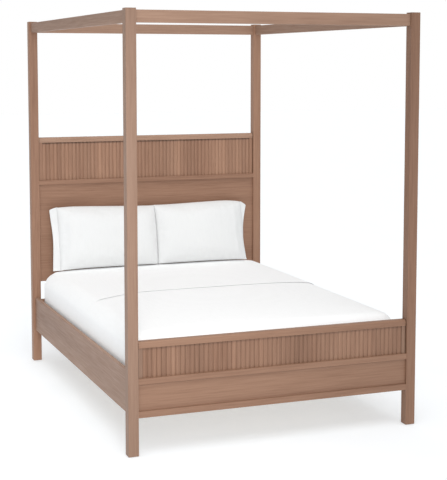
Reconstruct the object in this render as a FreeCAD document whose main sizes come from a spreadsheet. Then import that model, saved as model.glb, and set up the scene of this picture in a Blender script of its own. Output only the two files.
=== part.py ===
import FreeCAD, Part
import Sketcher
import os
import re

from FreeCAD import Placement, Rotation, Vector

# Four poster canopy bed for a 1524 x 2032 mm mattress. Millimetres, Z up, head end at +Y.
# The origin is on the floor, in the middle of the outline.

os.makedirs("parts", exist_ok=True)
doc = FreeCAD.newDocument("FourPosterCanopyBed")
sheet = doc.addObject("Spreadsheet::Sheet", "Sizes")

SIZES = [
    ("overall_width", "1614"),
    ("overall_length", "2216"),
    ("overall_height", "2216"),
    ("half_width", "=overall_width / 2"),
    ("half_length", "=overall_length / 2"),
    ("post_side", "54"),
    ("edge_ease", "2"),
    ("inner_x", "=half_width - post_side"),
    ("inner_y", "=half_length - post_side"),
    ("glide_height", "3"),
    ("glide_radius", "15"),
    ("nail_radius", "1.6"),
    ("nail_length", "18"),
    # canopy rails and their fittings
    ("canopy_drop", "8"),
    ("canopy_height", "62"),
    ("canopy_thickness", "30"),
    ("canopy_inset", "=(post_side - canopy_thickness) / 2"),
    ("canopy_base", "=overall_height - canopy_drop - canopy_height"),
    ("canopy_mid", "=canopy_base + canopy_height / 2"),
    ("rod_radius", "3"),
    ("rod_in_post", "20"),
    ("rod_in_rail", "52"),
    ("nut_radius", "6"),
    ("nut_length", "24"),
    ("nut_offset", "40"),
    ("pin_radius", "4"),
    ("pin_depth", "20"),
    ("pin_spread", "20"),
    # headboard and footboard, measured back from the faces of their posts that face the foot
    ("end_reveal", "4"),
    ("cap_height", "33"),
    ("cap_depth", "42"),
    ("cap_recess", "9"),
    ("cap_bevel", "9"),
    ("reed_recess", "14"),
    ("reed_pitch", "25.1"),
    ("reed_count", "58"),
    ("reed_width", "24.9"),
    ("reed_rise", "4.5"),
    ("reed_base", "3.5"),
    ("reed_depth", "=reed_rise + reed_base"),
    ("reed_start", "=-reed_pitch * reed_count / 2"),
    ("stile_width", "=inner_x + reed_start - end_reveal - 0.2"),
    ("backing_thickness", "12"),
    ("groove_depth", "8"),
    ("rail_recess", "2"),
    ("rail_depth", "34"),
    ("panel_recess", "14"),
    ("panel_thickness", "16"),
    ("dowel_radius", "5"),
    ("dowel_depth", "25"),
    ("foot_top", "578"),
    ("foot_reed_base", "394"),
    ("foot_mid_base", "364"),
    ("foot_panel_base", "228"),
    ("foot_base", "195"),
    ("head_top", "1469"),
    ("head_reed_base", "1189"),
    ("head_mid_base", "1161"),
    ("head_panel_base", "525"),
    ("cross_recess", "10"),
    ("cross_depth", "24"),
    ("cross_base", "206"),
    ("cross_top", "405"),
    # side rails and the hooked plates at their ends
    ("side_recess", "16"),
    ("side_thickness", "22"),
    ("side_base", "206"),
    ("side_top", "422"),
    ("side_outer", "=half_width - side_recess"),
    ("side_inner", "=side_outer - side_thickness"),
    ("side_mid", "=side_outer - side_thickness / 2"),
    ("plate_width", "18"),
    ("plate_thickness", "2.5"),
    ("plate_height", "130"),
    ("plate_base", "240"),
    ("slot_width", "6"),
    ("slot_height", "30"),
    ("lower_slot", "262"),
    ("upper_slot", "322"),
    ("hook_width", "5"),
    ("hook_reach", "14"),
    ("hook_height", "18"),
    ("hook_drop", "8"),
    ("pocket_width", "8"),
    ("pocket_depth", "16"),
    ("pocket_height", "42"),
    ("screw_radius", "2"),
    ("screw_head", "4"),
    ("screw_sink", "2"),
    ("pilot_radius", "1.4"),
    # slats, cleats, centre rail and centre legs
    ("slat_top", "352"),
    ("slat_thickness", "18"),
    ("slat_width", "70"),
    ("slat_pitch", "160"),
    ("slat_count", "13"),
    ("slat_half", "764"),
    ("slat_base", "=slat_top - slat_thickness"),
    ("strap_width", "25"),
    ("strap_thickness", "1"),
    ("cleat_height", "40"),
    ("cleat_thickness", "20"),
    ("cleat_base", "=slat_base - cleat_height"),
    ("side_cleat_half", "1040"),
    ("end_cleat_half", "745"),
    ("end_cleat_thickness", "20"),
    ("foot_cleat_y", "=panel_recess + panel_thickness - half_length"),
    ("head_cleat_y", "=inner_y + cross_recess - end_cleat_thickness"),
    ("beam_width", "60"),
    ("beam_height", "45"),
    ("beam_base", "=slat_base - beam_height"),
    ("beam_start", "=foot_cleat_y + end_cleat_thickness + hanger_gauge"),
    ("beam_end", "=head_cleat_y - hanger_gauge"),
    ("hanger_gauge", "3"),
    ("hanger_length", "45"),
    ("hanger_flange", "55"),
    ("leg_side", "45"),
    ("leg_base", "22"),
    ("leg_front_y", "-260"),
    ("leg_rear_y", "405"),
    ("leg_bolt_radius", "4"),
    ("leg_bolt_up", "30"),
    ("leg_bolt_down", "40"),
    ("insert_flange_radius", "11"),
    ("insert_flange_height", "1.6"),
    ("insert_radius", "6"),
    ("insert_height", "12"),
    ("stem_radius", "4"),
    ("stem_clearance", "0.05"),
    ("stem_top", "60"),
    ("stem_room", "60"),
    ("pad_radius", "18"),
    ("pad_height", "8"),
    # mattress and bedding
    ("mattress_half_x", "760"),
    ("mattress_half_y", "1014"),
    ("mattress_base", "352.3"),
    ("mattress_top", "604"),
    ("mattress_corner", "80"),
    ("mattress_edge", "75"),
    ("mattress_wall", "15"),
    ("cover_half_x", "680"),
    ("cover_start", "-930"),
    ("cover_end", "830"),
    ("cover_thickness", "3"),
    ("pillow_width", "690"),
    ("pillow_height", "412"),
    ("pillow_thickness", "150"),
    ("pillow_round", "60"),
    ("pillow_wall", "4.5"),
    ("pillow_inner_x", "3"),
    ("pillow_y", "948.5"),
    ("pillow_z", "810.5"),
]

for row, (alias, text) in enumerate(SIZES, start=1):
    sheet.set("A%d" % row, alias)
    sheet.set("B%d" % row, text)
    sheet.setAlias("B%d" % row, alias)
doc.recompute()

NODES = []
BOARDS = {}
PILLOW_LEAN = 12.0
TO_PLUS = {"x": Rotation(Vector(0, 1, 0), 90), "y": Rotation(Vector(1, 0, 0), -90), "z": Rotation()}
TO_MINUS = {
    "x": Rotation(Vector(0, 1, 0), -90),
    "y": Rotation(Vector(1, 0, 0), 90),
    "z": Rotation(Vector(1, 0, 0), 180),
}


def value(alias):
    """The present value of one named size."""
    return float(sheet.get(alias))


def bind(thing, prop, formula):
    """Drive a property by a formula written in the names of the sheet."""
    formula = re.sub(r"[a-z][a-z_]+", lambda word: "Sizes." + word.group(0), str(formula))
    thing.setExpression(prop, formula)


def place(thing, corner, rotation=Rotation()):
    """Turn a piece and drive its position from the sheet."""
    thing.Placement = Placement(Vector(), rotation)
    for axis, formula in zip("xyz", corner):
        bind(thing, "Placement.Base." + axis, formula)


def finish(piece, node):
    """Name a finished sub-part and list it for export."""
    piece.Label = node
    NODES.append(piece)
    return piece


def plane(body, role):
    """One of the body's own origin planes or axes."""
    return [item for item in body.Origin.OriginFeatures if item.Role == role][0]


def board(node, size, corner, eased=None, ease="edge_ease", bevel=None):
    """A board: a sketch of its plan padded to its height, with the edges along one axis eased.

    A bevel takes the corner off the upper edge of the side that faces the foot of the bed.
    """
    body = doc.addObject("PartDesign::Body", node + "_body")
    sketch = body.newObject("Sketcher::SketchObject", node + "_plan")
    sketch.AttachmentSupport = [(plane(body, "XY_Plane"), "")]
    sketch.MapMode = "FlatFace"
    corners = [Vector(0, 0, 0), Vector(10, 0, 0), Vector(10, 10, 0), Vector(0, 10, 0)]
    for index in range(4):
        sketch.addGeometry(Part.LineSegment(corners[index], corners[(index + 1) % 4]), False)
    for index in range(4):
        sketch.addConstraint(Sketcher.Constraint("Coincident", index, 2, (index + 1) % 4, 1))
    sketch.addConstraint(Sketcher.Constraint("Coincident", 0, 1, -1, 1))
    for index, kind in enumerate(("Horizontal", "Vertical", "Horizontal", "Vertical")):
        sketch.addConstraint(Sketcher.Constraint(kind, index))
    for name, line, kind in (("across", 0, "DistanceX"), ("along", 1, "DistanceY")):
        number = sketch.addConstraint(Sketcher.Constraint(kind, line, 1, line, 2, 10.0))
        sketch.renameConstraint(number, name)
    bind(sketch, "Constraints.across", size[0])
    bind(sketch, "Constraints.along", size[1])
    pad = body.newObject("PartDesign::Pad", node + "_pad")
    pad.Profile = (sketch, [""])
    bind(pad, "Length", size[2])
    sketch.Visibility = False
    doc.recompute()
    solid = pad
    if bevel:
        solid = body.newObject("PartDesign::Chamfer", node + "_bevel")
        solid.Base = (pad, [front_top_edge(pad.Shape)])
        bind(solid, "Size", bevel)
        doc.recompute()
    body.Tip = solid
    if eased:
        fillet = body.newObject("PartDesign::Fillet", node + "_ease")
        fillet.Base = (solid, edges_along(solid.Shape, eased))
        bind(fillet, "Radius", ease)
        body.Tip = fillet
    place(body, corner)
    BOARDS[node] = (body, corner)
    return finish(body, node)


def edges_along(shape, axes):
    """Names of the straight edges that run along any of the axes."""
    wanted = {"x": Vector(1, 0, 0), "y": Vector(0, 1, 0), "z": Vector(0, 0, 1)}
    names = []
    for number, edge in enumerate(shape.Edges, start=1):
        way = edge.tangentAt(edge.FirstParameter)
        if any(abs(way.dot(wanted[axis])) > 0.99 for axis in axes):
            names.append("Edge%d" % number)
    return names


def front_top_edge(shape):
    """Name of the long edge that is lowest in Y and highest in Z."""
    def reach(number):
        middle = shape.Edges[number - 1].CenterOfMass
        return middle.z - middle.y
    along = edges_along(shape, "x")
    return max(along, key=lambda name: reach(int(name[4:])))


def take(body, name, kind, sizes, corner, rotation=Rotation()):
    """Cut a box or a round hole out of a board, in the board's own coordinates."""
    before = body.Shape.Volume
    cut = body.newObject("PartDesign::Subtractive" + kind, name)
    for prop, formula in sizes.items():
        bind(cut, prop, formula)
    place(cut, corner, rotation)
    doc.recompute()
    if body.Shape.Volume > before - 1:
        raise RuntimeError(name + " removed nothing")


def drill(body, name, way, radius, depth, point):
    """A round hole that starts at a point and runs along one axis, such as +x or -y."""
    rotation = (TO_PLUS if way[0] == "+" else TO_MINUS)[way[1]]
    take(body, name, "Cylinder", {"Radius": radius, "Height": depth}, point, rotation)


def local(node, point):
    """A point of the whole bed in one board's own coordinates."""
    return tuple("(%s) - (%s)" % pair for pair in zip(point, BOARDS[node][1]))


def pilot(node, name, way, length, point):
    """The narrow hole that a screw's thread bites into."""
    drill(BOARDS[node][0], name + "_pilot", way, "pilot_radius", length, local(node, point))


def countersink(node, name, way, thickness, point):
    """A clearance hole with a countersunk mouth that a screw passes through."""
    body = BOARDS[node][0]
    rotation = (TO_PLUS if way[0] == "+" else TO_MINUS)[way[1]]
    sizes = {"Radius1": "screw_head", "Radius2": "screw_radius", "Height": "screw_sink"}
    take(body, name + "_sink", "Cone", sizes, local(node, point), rotation)
    drill(body, name + "_clear", way, "screw_radius", thickness, local(node, point))


def groove(body, name, size, corner):
    """A square-cornered pocket."""
    take(body, name, "Box", dict(zip(("Length", "Width", "Height"), size)), corner)


def rod(name, way, radius, length, point):
    """A plain round bar along one axis."""
    bar = doc.addObject("Part::Cylinder", name)
    bind(bar, "Radius", radius)
    bind(bar, "Height", length)
    place(bar, point, (TO_PLUS if way[0] == "+" else TO_MINUS)[way[1]])
    return bar


def block(name, size, corner):
    """A plain rectangular block."""
    box = doc.addObject("Part::Box", name)
    for prop, formula in zip(("Length", "Width", "Height"), size):
        bind(box, prop, formula)
    place(box, corner)
    return box


def screw(name, way, length, point):
    """A countersunk wood screw whose flat head starts at the point."""
    head = doc.addObject("Part::Cone", name + "_head")
    bind(head, "Radius1", "screw_head")
    bind(head, "Radius2", "screw_radius")
    bind(head, "Height", "screw_sink")
    place(head, point, (TO_PLUS if way[0] == "+" else TO_MINUS)[way[1]])
    whole = doc.addObject("Part::Fuse", name)
    whole.Base = head
    whole.Tool = rod(name + "_shank", way, "screw_radius", length, point)
    return whole


def group(node, pieces):
    """Several identical solids kept together as one sub-part."""
    together = doc.addObject("Part::Compound", node + "_set")
    together.Links = pieces
    return finish(together, node)


def cut_from(name, base, tools):
    """A block with several others cut out of it."""
    tool = tools[0]
    if len(tools) > 1:
        tool = doc.addObject("Part::MultiFuse", name + "_tools")
        tool.Shapes = tools
    result = doc.addObject("Part::Cut", name)
    result.Base = base
    result.Tool = tool
    return result


# Posts. Each is one square length with eased edges, drilled and grooved on its two inner faces.
SIDES = {"left": -1, "right": 1}
ENDS = {"front": -1, "rear": 1}


def low_corner(sign, start, size):
    """The lower corner of a span measured in from an outer face."""
    return start if sign < 0 else "post_side - (%s) - (%s)" % (start, size)


def inward(sign, axis):
    """The way from a post's inner face back into the post."""
    return ("-" if sign < 0 else "+") + axis


for end, end_sign in ENDS.items():
    for side, side_sign in SIDES.items():
        node = "%s_%s_post" % (end, side)
        corner_x = "-half_width" if side_sign < 0 else "inner_x"
        corner_y = "-half_length" if end_sign < 0 else "inner_y"
        post = board(
            node,
            ("post_side", "post_side", "overall_height - glide_height"),
            (corner_x, corner_y, "glide_height"),
            eased="xyz",
        )
        face_x = "post_side" if side_sign < 0 else "0"
        face_y = "post_side" if end_sign < 0 else "0"
        along_x = inward(side_sign, "x")
        along_y = inward(end_sign, "y")
        mid = "post_side / 2"
        # canopy rails: one rod and two pins each way
        level = "canopy_mid - glide_height"
        drill(post, node + "_rod_x", along_x, "rod_radius", "rod_in_post", (face_x, mid, level))
        drill(post, node + "_rod_y", along_y, "rod_radius", "rod_in_post", (mid, face_y, level))
        for word, shift in (("low", "-pin_spread"), ("high", "+pin_spread")):
            height = level + shift
            drill(post, node + "_pin_x_" + word, along_x, "pin_radius", "pin_depth", (face_x, mid, height))
            drill(post, node + "_pin_y_" + word, along_y, "pin_radius", "pin_depth", (mid, face_y, height))
        # grooves for the panels and dowel holes for the cross rails, all on the x face
        if end == "front":
            spans = (("foot_reed_base", "foot_top - cap_height"), ("foot_panel_base", "foot_mid_base"))
            rails = [
                ("foot_top - cap_height / 2", "cap_recess + cap_depth * 0.27", "a"),
                ("foot_top - cap_height / 2", "cap_recess + cap_depth * 0.73", "b"),
                ("(foot_reed_base + foot_mid_base) / 2", "rail_recess + rail_depth / 2", "c"),
                ("(foot_panel_base + foot_base) / 2", "rail_recess + rail_depth / 2", "d"),
            ]
        else:
            spans = (("head_reed_base", "head_top - cap_height"), ("head_panel_base", "head_mid_base"))
            rails = [
                ("head_top - cap_height / 2", "cap_recess + cap_depth * 0.27", "a"),
                ("head_top - cap_height / 2", "cap_recess + cap_depth * 0.73", "b"),
                ("(head_reed_base + head_mid_base) / 2", "rail_recess + rail_depth / 2", "c"),
                ("cross_base + 40", "cross_recess + cross_depth / 2", "d"),
                ("cross_top - 40", "cross_recess + cross_depth / 2", "e"),
            ]
        groove_x = low_corner(side_sign, "post_side - groove_depth", "groove_depth")
        starts = ("reed_recess + reed_depth", "panel_recess")
        widths = ("backing_thickness", "panel_thickness")
        for (low, high), start, width, word in zip(spans, starts, widths, ("upper", "lower")):
            size = ("groove_depth", width, "%s - (%s)" % (high, low))
            groove(post, node + "_groove_" + word, size, (groove_x, start, low + " - glide_height"))
        for height, depth_in, word in rails:
            point = (face_x, depth_in, height + " - glide_height")
            drill(post, node + "_dowel_" + word, along_x, "dowel_radius", "dowel_depth", point)
        # mortise for the slotted plate and a pocket behind each slot
        plate_x = low_corner(side_sign, "side_recess + (side_thickness - plate_width) / 2", "plate_width")
        plate_y = low_corner(end_sign, "post_side - plate_thickness", "plate_thickness")
        size = ("plate_width", "plate_thickness", "plate_height")
        groove(post, node + "_plate", size, (plate_x, plate_y, "plate_base - glide_height"))
        pocket_x = low_corner(side_sign, "side_recess + (side_thickness - pocket_width) / 2", "pocket_width")
        pocket_y = low_corner(end_sign, "post_side - pocket_depth", "pocket_depth")
        for word, slot in (("low", "lower_slot"), ("high", "upper_slot")):
            size = ("pocket_width", "pocket_depth", "pocket_height")
            height = slot + " - (pocket_height - slot_height) / 2 - glide_height"
            groove(post, node + "_pocket_" + word, size, (pocket_x, pocket_y, height))
        drill(post, node + "_nail", "+z", "nail_radius", "nail_length", (mid, mid, "0"))

        glide = doc.addObject("Part::Fuse", node + "_glide_whole")
        centre_x = "(%s) * (half_width - post_side / 2)" % side_sign
        centre_y = "(%s) * (half_length - post_side / 2)" % end_sign
        middle = (centre_x, centre_y, "0")
        glide.Base = rod(node + "_disc", "+z", "glide_radius", "glide_height", middle)
        glide.Tool = rod(node + "_shaft", "+z", "nail_radius", "glide_height + nail_length", middle)
        finish(glide, "%s_%s_glide" % (end, side))


# Canopy rails. Front and rear run between the posts along X, left and right along Y.
def fit_canopy_end(rail, name, axis, at_start, length):
    """Rod hole, nut hole and two pin holes at one end of a canopy rail."""
    way = ("+" if at_start else "-") + axis
    face = "0" if at_start else length
    nut_at = "nut_offset" if at_start else length + " - nut_offset"
    across = "canopy_thickness / 2"
    level = "canopy_height / 2"

    def point(along, height):
        return (along, across, height) if axis == "x" else (across, along, height)

    drill(rail, name + "_rod", way, "rod_radius", "rod_in_rail", point(face, level))
    for word, shift in (("low", " - pin_spread"), ("high", " + pin_spread")):
        drill(rail, name + "_pin_" + word, way, "pin_radius", "pin_depth", point(face, level + shift))
    drill(rail, name + "_nut", "-z", "nut_radius", "(canopy_height + nut_length) / 2",
          point(nut_at, "canopy_height"))


for end, sign in ENDS.items():
    node = "canopy_%s_rail" % end
    corner_y = "canopy_inset - half_length" if sign < 0 else "half_length - canopy_inset - canopy_thickness"
    rail = board(
        node,
        ("2 * inner_x", "canopy_thickness", "canopy_height"),
        ("-inner_x", corner_y, "canopy_base"),
        eased="x",
    )
    fit_canopy_end(rail, node + "_left", "x", True, "2 * inner_x")
    fit_canopy_end(rail, node + "_right", "x", False, "2 * inner_x")

for side, sign in SIDES.items():
    node = "canopy_%s_rail" % side
    corner_x = "canopy_inset - half_width" if sign < 0 else "half_width - canopy_inset - canopy_thickness"
    rail = board(
        node,
        ("canopy_thickness", "2 * inner_y", "canopy_height"),
        (corner_x, "-inner_y", "canopy_base"),
        eased="y",
    )
    fit_canopy_end(rail, node + "_foot", "y", True, "2 * inner_y")
    fit_canopy_end(rail, node + "_head", "y", False, "2 * inner_y")

rods, nuts, pins = [], [], []
for end_sign in ENDS.values():
    for side_sign in SIDES.values():
        for axis in "xy":
            name = "fit_%s%d" % (axis, len(rods))
            sign = side_sign if axis == "x" else end_sign
            inner = "inner_x" if axis == "x" else "inner_y"
            way = ("+" if sign < 0 else "-") + axis
            post_x = "(%d) * (half_width - post_side / 2)" % side_sign
            post_y = "(%d) * (half_length - post_side / 2)" % end_sign

            def spot(inward_by, height):
                along = "(%d) * (%s - (%s))" % (sign, inner, inward_by)
                return (along, post_y, height) if axis == "x" else (post_x, along, height)

            start = "-rod_in_post"
            rods.append(rod(name + "_rod", way, "rod_radius", "rod_in_post + rod_in_rail",
                            spot(start, "canopy_mid")))
            nut = rod(name + "_blank", "+z", "nut_radius", "nut_length",
                      spot("nut_offset", "canopy_mid - nut_length / 2"))
            hole = rod(name + "_bore", way, "rod_radius", "rod_in_post + rod_in_rail",
                       spot(start, "canopy_mid"))
            nuts.append(cut_from(name + "_nut", nut, [hole]))
            for shift in ("-pin_spread", "+pin_spread"):
                word = "low" if shift[0] == "-" else "high"
                pins.append(rod(name + "_pin_" + word, way, "pin_radius", "2 * pin_depth",
                                spot("-pin_depth", "canopy_mid" + shift)))
group("canopy_rods", rods)
group("canopy_barrel_nuts", nuts)
group("canopy_dowels", pins)


# Headboard and footboard. Both show their reeded face toward the foot.
def reeds(node, face_y, base, height):
    """A row of convex strips, one sketch padded and repeated along X."""
    body = doc.addObject("PartDesign::Body", node + "_body")
    sketch = body.newObject("Sketcher::SketchObject", node + "_profile")
    sketch.AttachmentSupport = [(plane(body, "XY_Plane"), "")]
    sketch.MapMode = "FlatFace"
    width, flat, deep = value("reed_width"), value("reed_rise"), value("reed_depth")
    back_left, back_right = Vector(0, deep, 0), Vector(width, deep, 0)
    left, right, crest = Vector(0, flat, 0), Vector(width, flat, 0), Vector(width / 2, 0, 0)
    sketch.addGeometry(Part.LineSegment(back_left, back_right), False)
    sketch.addGeometry(Part.LineSegment(back_right, right), False)
    sketch.addGeometry(Part.Arc(left, crest, right), False)
    sketch.addGeometry(Part.LineSegment(left, back_left), False)
    sketch.addConstraint(Sketcher.Constraint("Coincident", 0, 2, 1, 1))
    sketch.addConstraint(Sketcher.Constraint("Coincident", 1, 2, 2, 2))
    sketch.addConstraint(Sketcher.Constraint("Coincident", 2, 1, 3, 1))
    sketch.addConstraint(Sketcher.Constraint("Coincident", 3, 2, 0, 1))
    sketch.addConstraint(Sketcher.Constraint("Horizontal", 0))
    sketch.addConstraint(Sketcher.Constraint("Vertical", 1))
    sketch.addConstraint(Sketcher.Constraint("Vertical", 3))
    sketch.addConstraint(Sketcher.Constraint("PointOnObject", 0, 1, -2))
    radius = (width * width / 4 + flat * flat) / (2 * flat)
    for name, constraint in (
        ("strip", Sketcher.Constraint("DistanceX", 0, 1, 0, 2, width)),
        ("depth", Sketcher.Constraint("DistanceY", -1, 1, 0, 1, deep)),
        ("side", Sketcher.Constraint("DistanceY", 3, 1, 3, 2, deep - flat)),
        ("curve", Sketcher.Constraint("Radius", 2, radius)),
        ("level", Sketcher.Constraint("Horizontal", 2, 1, 2, 2)),
    ):
        number = sketch.addConstraint(constraint)
        sketch.renameConstraint(number, name)
    bind(sketch, "Constraints.strip", "reed_width")
    bind(sketch, "Constraints.depth", "reed_depth")
    bind(sketch, "Constraints.side", "reed_base")
    bind(sketch, "Constraints.curve",
         "(reed_width * reed_width / 4 + reed_rise * reed_rise) / (2 * reed_rise)")
    pad = body.newObject("PartDesign::Pad", node + "_strip")
    pad.Profile = (sketch, [""])
    bind(pad, "Length", height)
    row_of = body.newObject("PartDesign::LinearPattern", node + "_row")
    row_of.Originals = [pad]
    row_of.Direction = (plane(body, "X_Axis"), [""])
    bind(row_of, "Length", "reed_pitch * (reed_count - 1)")
    bind(row_of, "Occurrences", "reed_count")
    body.Tip = row_of
    place(body, ("reed_start + 0.1", face_y + " + reed_recess", base))
    return finish(body, node)


def end_dowels(node, face_y, rows):
    """Dowels at both ends of the cross rails of one end of the bed."""
    pegs = []
    for height, depth_in in rows:
        for sign in SIDES.values():
            way = "+x" if sign < 0 else "-x"
            start = "(%d) * (inner_x + dowel_depth)" % sign
            name = "%s_peg%d" % (node, len(pegs))
            pegs.append(rod(name, way, "dowel_radius", "2 * dowel_depth",
                            (start, face_y + " + " + depth_in, height)))
    return group(node, pegs)


def bore_ends(rail, name, length, depth, spots):
    """Dowel holes in both ends of a cross rail."""
    for number, (across, height) in enumerate(spots):
        drill(rail, "%s_hole_l%d" % (name, number), "+x", "dowel_radius", depth, ("0", across, height))
        drill(rail, "%s_hole_r%d" % (name, number), "-x", "dowel_radius", depth, (length, across, height))


def upper_panel(prefix, face_y, top, reed_base, mid_base):
    """Cap rail, reeds, stiles, backing and mid rail, the same at both ends of the bed."""
    between = "2 * inner_x"
    cap_long = "2 * (inner_x - end_reveal)"
    reed_high = "%s - cap_height - %s" % (top, reed_base)
    cap = board(
        prefix + "_cap_rail",
        (cap_long, "cap_depth", "cap_height"),
        ("end_reveal - inner_x", face_y + " + cap_recess", top + " - cap_height"),
        eased="x",
        bevel="cap_bevel",
    )
    bore_ends(cap, prefix + "_cap", cap_long, "dowel_depth - end_reveal",
              [("cap_depth * 0.27", "cap_height / 2"), ("cap_depth * 0.73", "cap_height / 2")])
    reeds(prefix + "_reeds", face_y, reed_base, reed_high)
    for side, corner_x in (("left", "end_reveal - inner_x"), ("right", "inner_x - end_reveal - stile_width")):
        board(
            "%s_%s_stile" % (prefix, side),
            ("stile_width", "reed_depth", reed_high),
            (corner_x, face_y + " + reed_recess", reed_base),
        )
    board(
        prefix + "_reed_backing",
        ("2 * (inner_x + groove_depth)", "backing_thickness", reed_high),
        ("-inner_x - groove_depth", face_y + " + reed_recess + reed_depth", reed_base),
    )
    mid = board(
        prefix + "_mid_rail",
        (between, "rail_depth", "%s - %s" % (reed_base, mid_base)),
        ("-inner_x", face_y + " + rail_recess", mid_base),
        eased="x",
    )
    bore_ends(mid, prefix + "_mid", between, "dowel_depth",
              [("rail_depth / 2", "(%s - %s) / 2" % (reed_base, mid_base))])


def lower_panel(prefix, face_y, base, top):
    """The plain panel, let into grooves in the posts."""
    board(
        prefix + "_panel",
        ("2 * (inner_x + groove_depth)", "panel_thickness", "%s - %s" % (top, base)),
        ("-inner_x - groove_depth", face_y + " + panel_recess", base),
    )


FOOT_FACE = "-half_length"
HEAD_FACE = "inner_y"

upper_panel("footboard", FOOT_FACE, "foot_top", "foot_reed_base", "foot_mid_base")
lower_panel("footboard", FOOT_FACE, "foot_panel_base", "foot_mid_base")
bottom = board(
    "footboard_bottom_rail",
    ("2 * inner_x", "rail_depth", "foot_panel_base - foot_base"),
    ("-inner_x", FOOT_FACE + " + rail_recess", "foot_base"),
    eased="x",
)
bore_ends(bottom, "footboard_bottom", "2 * inner_x", "dowel_depth",
          [("rail_depth / 2", "(foot_panel_base - foot_base) / 2")])
end_dowels("footboard_dowels", FOOT_FACE, [
    ("foot_top - cap_height / 2", "cap_recess + cap_depth * 0.27"),
    ("foot_top - cap_height / 2", "cap_recess + cap_depth * 0.73"),
    ("(foot_reed_base + foot_mid_base) / 2", "rail_recess + rail_depth / 2"),
    ("(foot_panel_base + foot_base) / 2", "rail_recess + rail_depth / 2"),
])

upper_panel("headboard", HEAD_FACE, "head_top", "head_reed_base", "head_mid_base")
lower_panel("headboard", HEAD_FACE, "head_panel_base", "head_mid_base")
cross = board(
    "headboard_cross_rail",
    ("2 * inner_x", "cross_depth", "cross_top - cross_base"),
    ("-inner_x", HEAD_FACE + " + cross_recess", "cross_base"),
    eased="x",
)
bore_ends(cross, "headboard_cross", "2 * inner_x", "dowel_depth",
          [("cross_depth / 2", "40"), ("cross_depth / 2", "cross_top - cross_base - 40")])
end_dowels("headboard_dowels", HEAD_FACE, [
    ("head_top - cap_height / 2", "cap_recess + cap_depth * 0.27"),
    ("head_top - cap_height / 2", "cap_recess + cap_depth * 0.73"),
    ("(head_reed_base + head_mid_base) / 2", "rail_recess + rail_depth / 2"),
    ("cross_base + 40", "cross_recess + cross_depth / 2"),
    ("cross_top - 40", "cross_recess + cross_depth / 2"),
])

# Side rails, with a mortise at each end for its hooked plate, and the cleats that carry the slats.
for side, sign in SIDES.items():
    node = side + "_side_rail"
    corner_x = "-side_outer" if sign < 0 else "side_inner"
    rail = board(
        node,
        ("side_thickness", "2 * inner_y", "side_top - side_base"),
        (corner_x, "-inner_y", "side_base"),
        eased="y",
    )
    for word, at in (("foot", "0"), ("head", "2 * inner_y - plate_thickness")):
        corner = ("(side_thickness - plate_width) / 2", at, "plate_base - side_base")
        groove(rail, node + "_mortise_" + word, ("plate_width", "plate_thickness", "plate_height"), corner)
    board(
        side + "_cleat",
        ("cleat_thickness", "2 * side_cleat_half", "cleat_height"),
        ("-side_inner" if sign < 0 else "side_inner - cleat_thickness", "-side_cleat_half", "cleat_base"),
    )

board(
    "foot_cleat",
    ("2 * end_cleat_half", "end_cleat_thickness", "cleat_height"),
    ("-end_cleat_half", "foot_cleat_y", "cleat_base"),
)
board(
    "head_cleat",
    ("2 * end_cleat_half", "end_cleat_thickness", "cleat_height"),
    ("-end_cleat_half", "head_cleat_y", "cleat_base"),
)

slot_plates, hook_plates, plate_screws = [], [], []
for end_sign in ENDS.values():
    for side_sign in SIDES.values():
        name = "plate%d" % len(slot_plates)
        left_edge = "(%d) * side_mid - plate_width / 2" % side_sign
        mid_x = "(%d) * side_mid" % side_sign
        # the slotted plate lies in the post, the hooked one in the rail; they meet at the post's face
        post_low = "-inner_y - plate_thickness" if end_sign < 0 else "inner_y"
        rail_low = "-inner_y" if end_sign < 0 else "inner_y - plate_thickness"
        size = ("plate_width", "plate_thickness", "plate_height")
        slots, arms = [], []
        for word, slot in (("low", "lower_slot"), ("high", "upper_slot")):
            slots.append(block("%s_slot_%s" % (name, word), ("slot_width", "plate_thickness", "slot_height"),
                               (mid_x + " - slot_width / 2", post_low, slot)))
            arm_low = "-inner_y - hook_reach" if end_sign < 0 else "inner_y - plate_thickness"
            arms.append(block("%s_arm_%s" % (name, word),
                              ("hook_width", "hook_reach + plate_thickness", "hook_height"),
                              (mid_x + " - hook_width / 2", arm_low, slot + " + hook_drop / 2")))
            nose_low = "-inner_y - hook_reach" if end_sign < 0 else "inner_y + plate_thickness + 0.5"
            arms.append(block("%s_nose_%s" % (name, word),
                              ("hook_width", "hook_reach - plate_thickness - 0.5", "hook_height"),
                              (mid_x + " - hook_width / 2", nose_low, slot + " - hook_drop / 2")))
        heads = []
        post_way, rail_way = ("-y", "+y") if end_sign < 0 else ("+y", "-y")
        meet = "(%d) * inner_y" % end_sign
        side = "left" if side_sign < 0 else "right"
        hosts = {"post": ("front" if end_sign < 0 else "rear") + "_%s_post" % side, "rail": side + "_side_rail"}
        for height in ("plate_base + 8", "plate_base + plate_height - 8"):
            for way, word in ((post_way, "post"), (rail_way, "rail")):
                label = "%s_screw_%s%d" % (name, word, len(heads))
                point = (mid_x, meet, height)
                plate_screws.append(screw(label, way, "28", point))
                heads.append((word, screw(label + "_seat", way, "28", point)))
                pilot(hosts[word], label, way, "28", point)
        slot_blank = block(name + "_post_blank", size, (left_edge, post_low, "plate_base"))
        slot_plates.append(cut_from(name + "_slotted", slot_blank,
                                    slots + [seat for word, seat in heads if word == "post"]))
        rail_blank = block(name + "_rail_blank", size, (left_edge, rail_low, "plate_base"))
        with_hooks = doc.addObject("Part::MultiFuse", name + "_with_hooks")
        with_hooks.Shapes = [rail_blank] + arms
        hook_plates.append(cut_from(name + "_hooked", with_hooks,
                                    [seat for word, seat in heads if word == "rail"]))
group("post_slot_plates", slot_plates)
group("rail_hook_plates", hook_plates)
group("plate_screws", plate_screws)

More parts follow.
